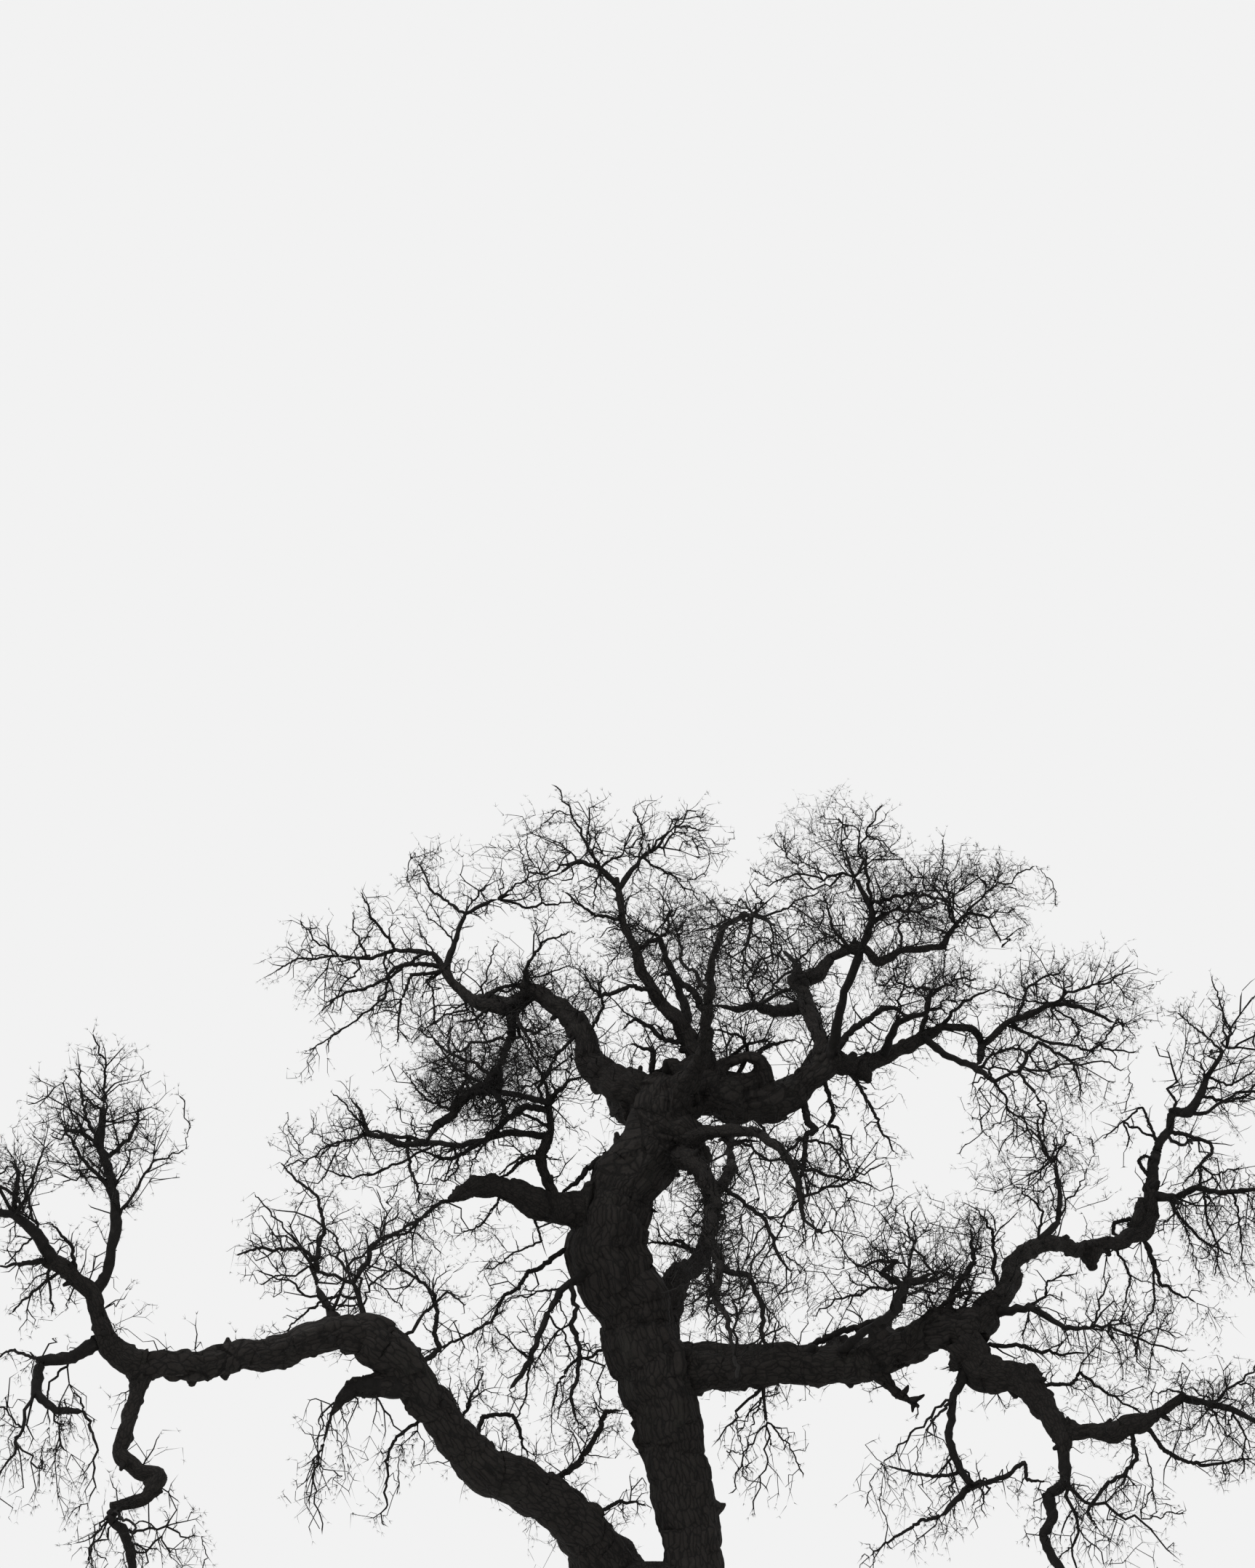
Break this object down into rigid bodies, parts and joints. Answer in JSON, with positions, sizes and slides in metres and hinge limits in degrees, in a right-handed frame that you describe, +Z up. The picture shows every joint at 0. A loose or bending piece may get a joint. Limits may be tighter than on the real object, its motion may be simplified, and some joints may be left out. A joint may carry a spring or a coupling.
{
  "type": "bare winter tree",
  "caption": "Bare wide-spreading winter oak: short flared trunk, forked leader, crooked boughs on every side and masses of fine leafless twigs.",
  "frame": {"origin": "middle of the flat cut under the trunk, at ground level", "axes": "+Z up the trunk, +X east (right in the picture), +Y north (away from the viewer in the picture)"},
  "size_m": [19.0601, 12.8975, 13.137],
  "materials": {
    "bark": "rough furrowed bark, near black",
    "twig_wood": "matt dark twig bark"
  },
  "bodies": {
    "root": {"broken_bough": "bark", "broom_twigs": "twig_wood", "east_bough": "bark", "east_drop_twigs": "twig_wood", "east_far": "bark", "east_far_twigs": "twig_wood", "east_hanger_twigs": "twig_wood", "east_hanging_twigs": "twig_wood", "east_lower": "bark", "east_middle_twigs": "twig_wood", "east_side_twigs": "twig_wood", "east_spire_twigs": "twig_wood", "east_top_twigs": "twig_wood", "east_upper": "bark", "east_upright_twigs": "twig_wood", "inner_left_twigs": "twig_wood", "leader": "bark", "left_hanging_twigs": "twig_wood", "left_mid_twigs": "twig_wood", "left_outer_twigs": "twig_wood", "ne_bough": "bark", "ne_contorted": "bark", "ne_contorted_twigs": "twig_wood", "ne_far_twigs": "twig_wood", "ne_fork_twigs": "twig_wood", "ne_low_twigs": "twig_wood", "ne_middle_twigs": "twig_wood", "ne_outer": "bark", "north_bough": "bark", "north_east_bough": "bark", "north_east_low": "bark", "north_east_low_twigs": "twig_wood", "north_east_twigs": "twig_wood", "north_twigs": "twig_wood", "north_west_bough": "bark", "north_west_low": "bark", "north_west_low_twigs": "twig_wood", "north_west_twigs": "twig_wood", "nw_left_twigs": "twig_wood", "nw_limb": "bark", "nw_top_twigs": "twig_wood", "shoulder_limb": "bark", "shoulder_twigs": "twig_wood", "south_bough": "bark", "south_top": "bark", "south_top_twigs": "twig_wood", "south_twigs": "twig_wood", "top_leader": "bark", "top_left_twigs": "twig_wood", "top_middle_twigs": "twig_wood", "top_right_twigs": "twig_wood", "trunk": "bark", "west_bough": "bark", "west_bough_outer": "bark", "west_crook_twigs": "twig_wood", "west_drop": "bark", "west_drop_twigs": "twig_wood", "west_limb_twigs": "twig_wood", "west_rise": "bark", "west_spire_twigs": "twig_wood"}
  },
  "joints": []
}
